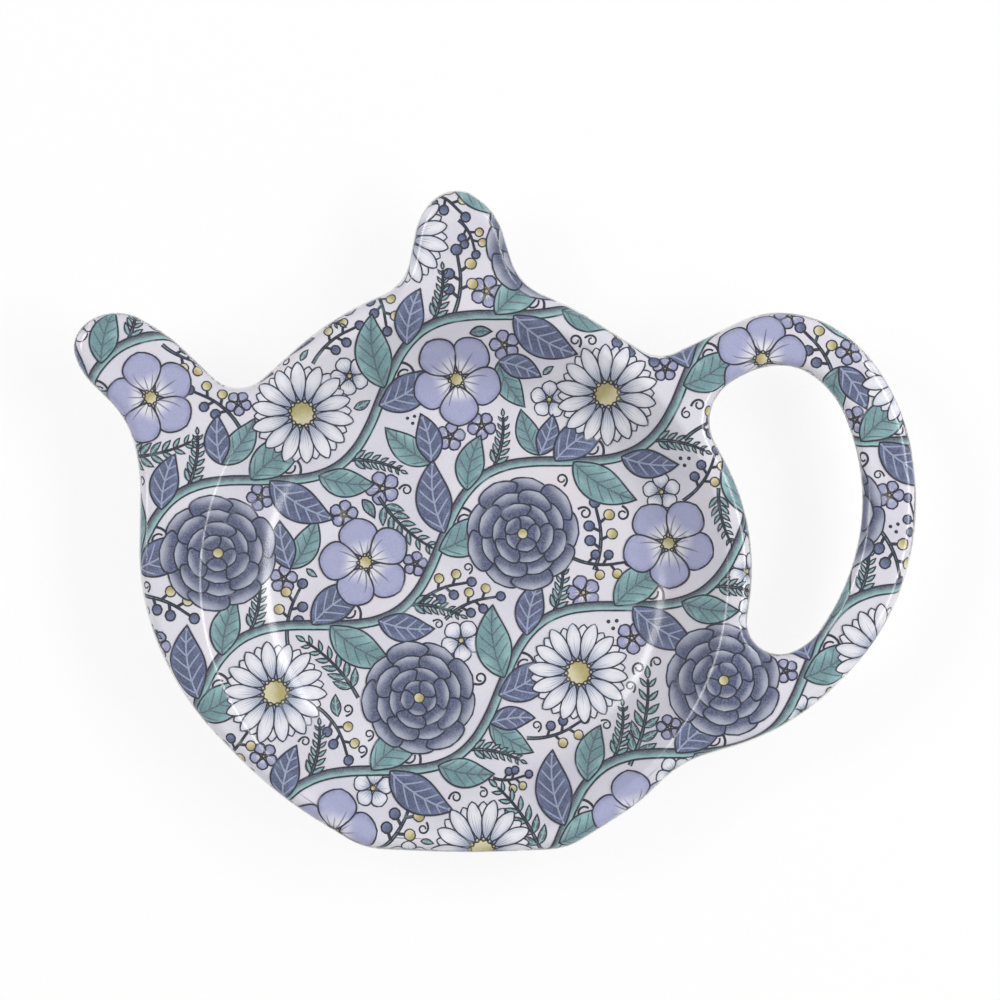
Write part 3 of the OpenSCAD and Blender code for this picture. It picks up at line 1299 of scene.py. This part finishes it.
def stem(knots: Sequence[Spot], half: float, taper: float, order: float = STALK,
         ink: Ink = Ink.STEM) -> list[Blade]:
    """A stem."""
    return [Blade(ink, order, tuple(knots), half, Form.RIBBON, taper=taper)]


def disc(ink: Ink, order: float, spot: Spot, radius: float) -> list[Blade]:
    """A round berry or dot."""
    x, y = spot
    return [Blade(ink, order, ((x - radius, y), (x, y), (x + radius, y)), radius, Form.DISC)]


def ring(ink: Ink, order: float, inner: float, outer: float, count: int, turn: float,
         overlap: float) -> list[Blade]:
    """A ring of petals, every second one longer and in front of its neighbours.

    Args:
        ink: the petals' kind.
        order: how high up they lie.
        inner: radius of their feet.
        outer: radius of their tips.
        count: how many there are.
        turn: the angle of the first, in degrees.
        overlap: their width, as a share of the room that each has.

    Returns:
        The petals.
    """
    half = math.pi * (inner + (outer - inner) * 0.6) / count * overlap
    made = []
    for i in range(count):
        angle, reach = turn + 360 * i / count, outer * (1 if i % 2 else 0.97)
        knots = (polar(ORIGIN, inner, angle), polar(ORIGIN, (inner + reach) / 2, angle + 1.5),
                 polar(ORIGIN, reach, angle))
        made.append(Blade(ink, order + i % 2, knots, half, tone=(0.3 + 0.37 * i) % 1.0))
    return made


def cushion(order: float, radius: float, count: int) -> list[Blade]:
    """The middle of a flower: a round cushion in a ring of so many knobs."""
    knobs = (disc(Ink.OCHRE, order + 1, polar(ORIGIN, radius, 360 * i / count), 2.4 * radius / count)
             for i in range(count))
    return sum(knobs, disc(Ink.OCHRE, order, ORIGIN, radius))


def camellia(radius: float) -> list[Blade]:
    """A full flower of four rings of broad petals."""
    made, rings = [], ((0.5, 1.0, 9), (0.32, 0.78, 8), (0.18, 0.55, 6), (0.04, 0.34, 5))
    for step, (inner, outer, count) in enumerate(rings):
        made += ring(Ink.CAMELLIA, BLOSSOM + 3 * step, radius * inner, radius * outer, count, 23 * step, 1.35)
    return made + disc(Ink.OCHRE, BLOSSOM + 14, ORIGIN, radius * 0.1)


def daisy(radius: float) -> list[Blade]:
    """A flower of two rings of narrow petals."""
    made = ring(Ink.DAISY, BLOSSOM, radius * 0.2, radius * 0.95, 14, 12, 1.0)
    made += ring(Ink.DAISY, BLOSSOM + 3, radius * 0.2, radius, 14, 0, 1.0)
    return made + cushion(BLOSSOM + 6, radius * 0.24, 12)


def blossom(radius: float, ink: Ink = Ink.BLOSSOM) -> list[Blade]:
    """A flower of five round petals."""
    return ring(ink, BLOSSOM, radius * 0.1, radius, 5, 0, 1.05) + cushion(BLOSSOM + 4, radius * 0.15, 8)


def fern(length: float) -> list[Blade]:
    """A frond along X, with leaflets in pairs that get shorter towards the tip."""
    knots = bent(ORIGIN, 0, length, FROND_BEND)
    spine, made = Spine(knots), stem(knots, 0.32, 0.6)
    for i in range(1, FROND_PAIRS + 1):
        spot, heading = spine.heading(i / (FROND_PAIRS + 0.6))
        size = length * 0.3 * (1 - 0.5 * i / FROND_PAIRS)
        for hand in (1, -1):
            angle = math.degrees(heading) + 50 * hand
            made += leaf(Ink.FERN, size, angle, -20 * hand, 0.2, FOLIAGE - i, spot)
    return made + leaf(Ink.FERN, length * 0.16, FROND_BEND, 0, spot=knots[-1])


def berries(length: float) -> list[Blade]:
    """A stalk along X, with berries of two colours on either side and one at the end."""
    knots = bent(ORIGIN, 0, length, -40)
    spine, made = Spine(knots), stem(knots, 0.32, 0.7)
    for i, (share, lean) in enumerate(((0.4, -60), (0.55, 60), (0.7, -60), (0.85, 60), (1.0, 0))):
        spot, heading = spine.heading(share)
        end = polar(spot, BERRY_STALK, math.degrees(heading) + lean)
        made += stem((spot, end), 0.22, 1.0)
        made += disc(Ink.OCHRE if i % 2 else Ink.BERRY, FOLIAGE + 2 + i, end, BERRY_RADIUS)
    return made


def tendril(angle: float, length: float) -> list[Blade]:
    """A thin line that winds up towards its end."""
    return stem(bent(ORIGIN, angle, length, 400.0, 1.5, 20), 0.2, 0.7, STALK - 1, Ink.TENDRIL)


def dots(radius: float) -> list[Blade]:
    """Three dots close together."""
    spots = (polar(ORIGIN, radius * 2.4, 120 * i) for i in range(3))
    return [blade for spot in spots for blade in disc(Ink.BERRY, FOLIAGE, spot, radius)]


# Layout of the print


class Layout:
    """Where every printed shape goes: stems trail slantwise over the whole tray, wave in step and hold a
    flower in every bay; sprigs, berries and dots fill the room that is left.

    Args:
        tray: the tray that the print has to cover.
    """

    CELL, MARGIN, BLEED, CONTACT = 0.3, 0.28, 3.0, 0.1
    LOW, HIGH = (-60.0, -44.0), (69.0, 60.0)
    WAY, ROWS, PITCH, OFFSET, STAGGER = 34.0, 3, 22.0, 6.0, 4.5
    WAVE, SWING, SEAT, BAYS, KNOTS = 42.0, 4.6, 3.0, 4, 12
    BEHIND, SEED = -500.0, 20
    FLOWERS = ((camellia, 8.4), (daisy, 7.4), (blossom, 6.8))

    def __init__(self, tray: Tray) -> None:
        """Marks everything off the tray as taken."""
        self.blades: list[Blade] = []
        self.random = np.random.default_rng(self.SEED)
        self.placed = 0
        counts = [int((high - low) / self.CELL) for low, high in zip(self.LOW, self.HIGH)]
        self.taken = np.zeros(counts, bool)
        cells = np.argwhere(~self.taken)
        for outline in tray.searched:
            self.taken[tuple(cells.T)] |= outline.beyond(cells * self.CELL + self.LOW)[0] > self.BLEED
        self.off = self.taken.copy()

    def cells(self, points: Array) -> tuple[Array, Array]:
        """The cells that some points lie in."""
        at = ((points - self.LOW) / self.CELL).astype(int)
        return tuple(np.clip(at, 0, np.array(self.taken.shape) - 1).T)

    def add(self, blades: Sequence[Blade]) -> None:
        """Puts some shapes down, whatever lies there, apart from those that miss the tray."""
        for blade in blades:
            cells = self.cells(blade.cover(self.MARGIN, self.CELL))
            if not self.off[cells].all():
                self.blades.append(blade)
                self.taken[cells] = True

    def scatter(self, kinds: Sequence[list[Blade]], tries: int, scales: Spot, allowed: float) -> None:
        """Fills free room with sprigs that lean along the trailing stems, behind what is there.

        Args:
            kinds: sprigs whose foot is at the origin and which point along X.
            tries: how many places are tried.
            scales: smallest and largest scale.
            allowed: share of a sprig that may lie behind other shapes.
        """
        covers = [np.vstack([blade.cover(self.MARGIN, self.CELL / scales[1]) for blade in kind])
                  for kind in kinds]
        free, before = np.argwhere(~self.taken), self.placed
        for _ in range(tries):
            if not len(free):
                break
            aim = free[self.random.integers(len(free))] * self.CELL + self.LOW
            turn = math.radians(self.WAY) + self.random.normal(0.0, 1.0)
            flip, scale = self.random.choice((-1.0, 1.0)), self.random.uniform(*scales)
            kind = self.random.integers(len(kinds))
            cos, sin = math.cos(turn), math.sin(turn)
            cover = (covers[kind] * (scale, scale * flip)) @ np.array([[cos, sin], [-sin, cos]])
            spot = aim - cover[self.random.integers(len(cover))]
            cells = self.cells(cover + spot)
            if self.taken[cells].mean() > allowed:
                continue
            self.placed += 1
            self.taken[cells] = True
            self.blades += moved(kinds[kind], turn, scale, flip, tuple(spot),
                                 self.BEHIND * self.placed, self.random.uniform(0.05, 0.95))
            free = np.argwhere(~self.taken)
        LOG.info("sprigs: %d placed, %.1f%% of the cells free", self.placed - before,
                 100 * len(free) / self.taken.size)

    def compose(self) -> list[Blade]:
        """Lays out the whole print and stacks its shapes."""
        for row in range(-self.ROWS, self.ROWS + 1):
            self._trail(row)
        self._sprigs()
        return self._stacked()

    def _stacked(self) -> list[Blade]:
        """Gives each shape the lowest level above all that it covers."""
        levels, stacked = np.zeros(self.taken.shape, int), []
        for blade in sorted(self.blades, key=lambda blade: blade.order):
            cells = self.cells(blade.cover(self.CONTACT, self.CELL))
            level = int(levels[cells].max()) + 1
            levels[cells] = level
            stacked.append(replace(blade, level=level))
        return stacked

    def _trail(self, row: int) -> None:
        """One trailing stem with its flowers, leaves, fronds and tendrils.

        Args:
            row: which stem it is, counted from the middle one.
        """
        middle, start = row * self.PITCH + self.OFFSET, row * self.STAGGER

        def place(along: float, across: float) -> Spot:
            """A place so far along the stems and so far beside this one's middle line."""
            return polar(polar(ORIGIN, along, self.WAY), middle + across, self.WAY + 90)

        def wave(along: float) -> Spot:
            """A place on the stem."""
            return place(along, self.SWING * math.sin(2 * math.pi * (along - start) / self.WAVE))

        reach = self.BAYS * self.KNOTS // 2
        knots = [wave(start + step * self.WAVE / self.KNOTS) for step in range(-reach, reach + 1)]
        self.add(stem(knots, 0.75, 1.0, STALK + 2))
        spine = Spine(knots)
        for bay in range(-self.BAYS, self.BAYS):
            hand, along = (-1.0 if bay % 2 else 1.0), start + (bay + 0.5) * self.WAVE / 2
            flower, radius = self.FLOWERS[(bay + 2 * row) % len(self.FLOWERS)]
            seat = -hand * (radius - self.SEAT)
            stalk = (wave(along - self.WAVE / 4), place(along - radius * 0.6, seat / 2), place(along, seat))
            self.add(stem(stalk, 0.6, 0.8))
            self.add(moved(flower(radius), 0.7 * bay + row, spot=place(along, seat)))
            inks = (Ink.TEAL_LEAF, Ink.NAVY_LEAF)
            near, far = inks if (bay + row) % 2 else inks[::-1]
            sprouts = ((0.008, hand, leaf(near, 11.0, 48, -35)),
                       (-0.006, -hand, leaf(far, 10.0, 52, -35, 0.26)),
                       (0.045, hand, leaf(far, 8.5, 40, -30, 0.25, FOLIAGE + 3)),
                       (0.07, hand, moved(fern(8.0), math.radians(38))),
                       (0.03, -hand, tendril(60, 9.0)))
            for share, side, sprig in sprouts:
                knee = (bay + self.BAYS) / (2 * self.BAYS)
                spot, heading = spine.heading((knee + share) % 1.0)
                self.add(moved(sprig, heading, flip=side, spot=spot))

    def _sprigs(self) -> None:
        """Sprigs in the room that is left, from the largest kind to the smallest."""
        pair = leaf(Ink.TEAL_LEAF, 8.0, 32) + leaf(Ink.NAVY_LEAF, 7.0, -32, 25, 0.26, FOLIAGE + 2)
        small = [leaf(Ink.TEAL_LEAF, 4.6), leaf(Ink.FERN, 4.0), tendril(0, 5.5)]
        self.scatter([fern(12.0), berries(8.0), pair], 2500, (0.9, 1.1), 0.2)
        self.scatter([fern(9.0), berries(6.0), pair, blossom(3.4, Ink.DAISY)], 3000, (0.8, 1.0), 0.15)
        self.scatter([pair, leaf(Ink.NAVY_LEAF, 6.5), berries(5.0), blossom(3.0)], 3000, (0.65, 0.9), 0.12)
        self.scatter(small, 4000, (0.7, 1.0), 0.08)
        self.scatter([dots(0.3), leaf(Ink.FERN, 2.6, 0, 20)], 3000, (0.8, 1.0), 0.0)


@dataclass
class Decor:
    """The print itself, on its foil."""

    tray: Tray
    room: float = 0.225
    base: float = 0.012
    most: float = 0.022

    def build(self) -> None:
        """Lays out the print and builds a piece for each kind of shape."""
        blades = Layout(self.tray).compose()
        lift = min(self.most, (self.room - self.base) / max(blade.level for blade in blades))
        LOG.info("print: %d shapes, %.4f mm apart", len(blades), lift)
        for ink in Ink:
            PrintLayer(self.tray, ink, lift, self.base).build([b for b in blades if b.ink is ink])


# Studio


@dataclass(frozen=True)
class SoftLamp:
    """A soft lamp that lies lengthwise in the room and looks at the middle of the tray."""

    name: str
    way: float
    length: float
    width: float = 280.0
    tilt: float = math.radians(50)
    distance: float = 1000.0
    glow: float = 21.0

    def build(self) -> None:
        """Puts the lamp up; its glow is its power in watts per square metre of its face."""
        light = bpy.data.lights.new(self.name, "AREA")
        light.shape = "RECTANGLE"
        light.size, light.size_y = self.width * MM, self.length * MM
        light.energy = self.glow * light.size * light.size_y
        flat, up = math.sin(self.tilt), math.cos(self.tilt)
        place = Vector((math.cos(self.way) * flat, math.sin(self.way) * flat, up))
        lamp = put(self.name, light)
        lamp.location = place * self.distance * MM
        lamp.rotation_euler = (0.0, self.tilt, self.way)


@dataclass(frozen=True)
class Studio:
    """White sweep, two soft lamps, soft light all round and the camera straight above."""

    frame_width: float = 142.01
    frame_x: float = 5.11
    frame_y: float = 11.18
    eye_height: float = 900.0
    sensor: float = 36.0
    lamps: tuple[SoftLamp, ...] = (SoftLamp("left_lamp", math.radians(161), 540.0),
                                   SoftLamp("right_lamp", math.radians(7), 1050.0))
    room: float = 0.6
    floor_size: float = 6000.0
    floor_tone: float = 0.86
    floor_white: float = 0.82

    def build(self, top: float) -> None:
        """Sets everything up.

        Args:
            top: height of the plane that the photograph's scale holds for.
        """
        self._floor()
        for lamp in self.lamps:
            lamp.build()
        scene = bpy.context.scene
        scene.world = bpy.data.worlds.new("room")
        scene.world.use_nodes = True
        light = scene.world.node_tree.nodes["Background"].inputs
        light["Color"].default_value, light["Strength"].default_value = (1.0,) * 4, self.room
        data = bpy.data.cameras.new("camera")
        data.sensor_width = self.sensor
        data.lens = self.sensor * (self.eye_height - top) / self.frame_width
        scene.camera = put("camera", data)
        scene.camera.location = (self.frame_x * MM, self.frame_y * MM, self.eye_height * MM)
        scene.view_settings.view_transform = "Standard"

    def _floor(self) -> None:
        """The white sweep: it shows white and keeps a little of the object's shadow."""
        bm = bmesh.new()
        bmesh.ops.create_grid(bm, x_segments=4, y_segments=4, size=self.floor_size / 2 * MM)
        floor = put("white_sweep", smooth_mesh(bm, "white_sweep"))
        tree, path = Tree("white_sweep"), "ShaderNodeLightPath"
        seen = tree.make(path, out="Is Camera Ray").most(tree.make(path, out="Is Glossy Ray"))
        paper = tree.make("ShaderNodeBsdfDiffuse", None, {"Color": (*(self.floor_tone,) * 3, 1.0)})
        white = tree.make("ShaderNodeEmission", None, {"Color": (1.0,) * 4, "Strength": 1.0})
        shares = {0: seen * self.floor_white, 1: paper, 2: white}
        floor.data.materials.append(tree.finish("ShaderNodeMixShader", shares))


def main() -> None:
    """Builds the tea bag rest and its studio."""
    logging.basicConfig(level=logging.INFO, format="%(name)s: %(message)s")
    tray = Tray(TrayForm())
    for layer in (MouldedBody, PrintedFoil, Decor, Glaze):
        layer(tray).build()
    Studio().build(tray.form.rim_top)


if __name__ == "__main__":
    main()
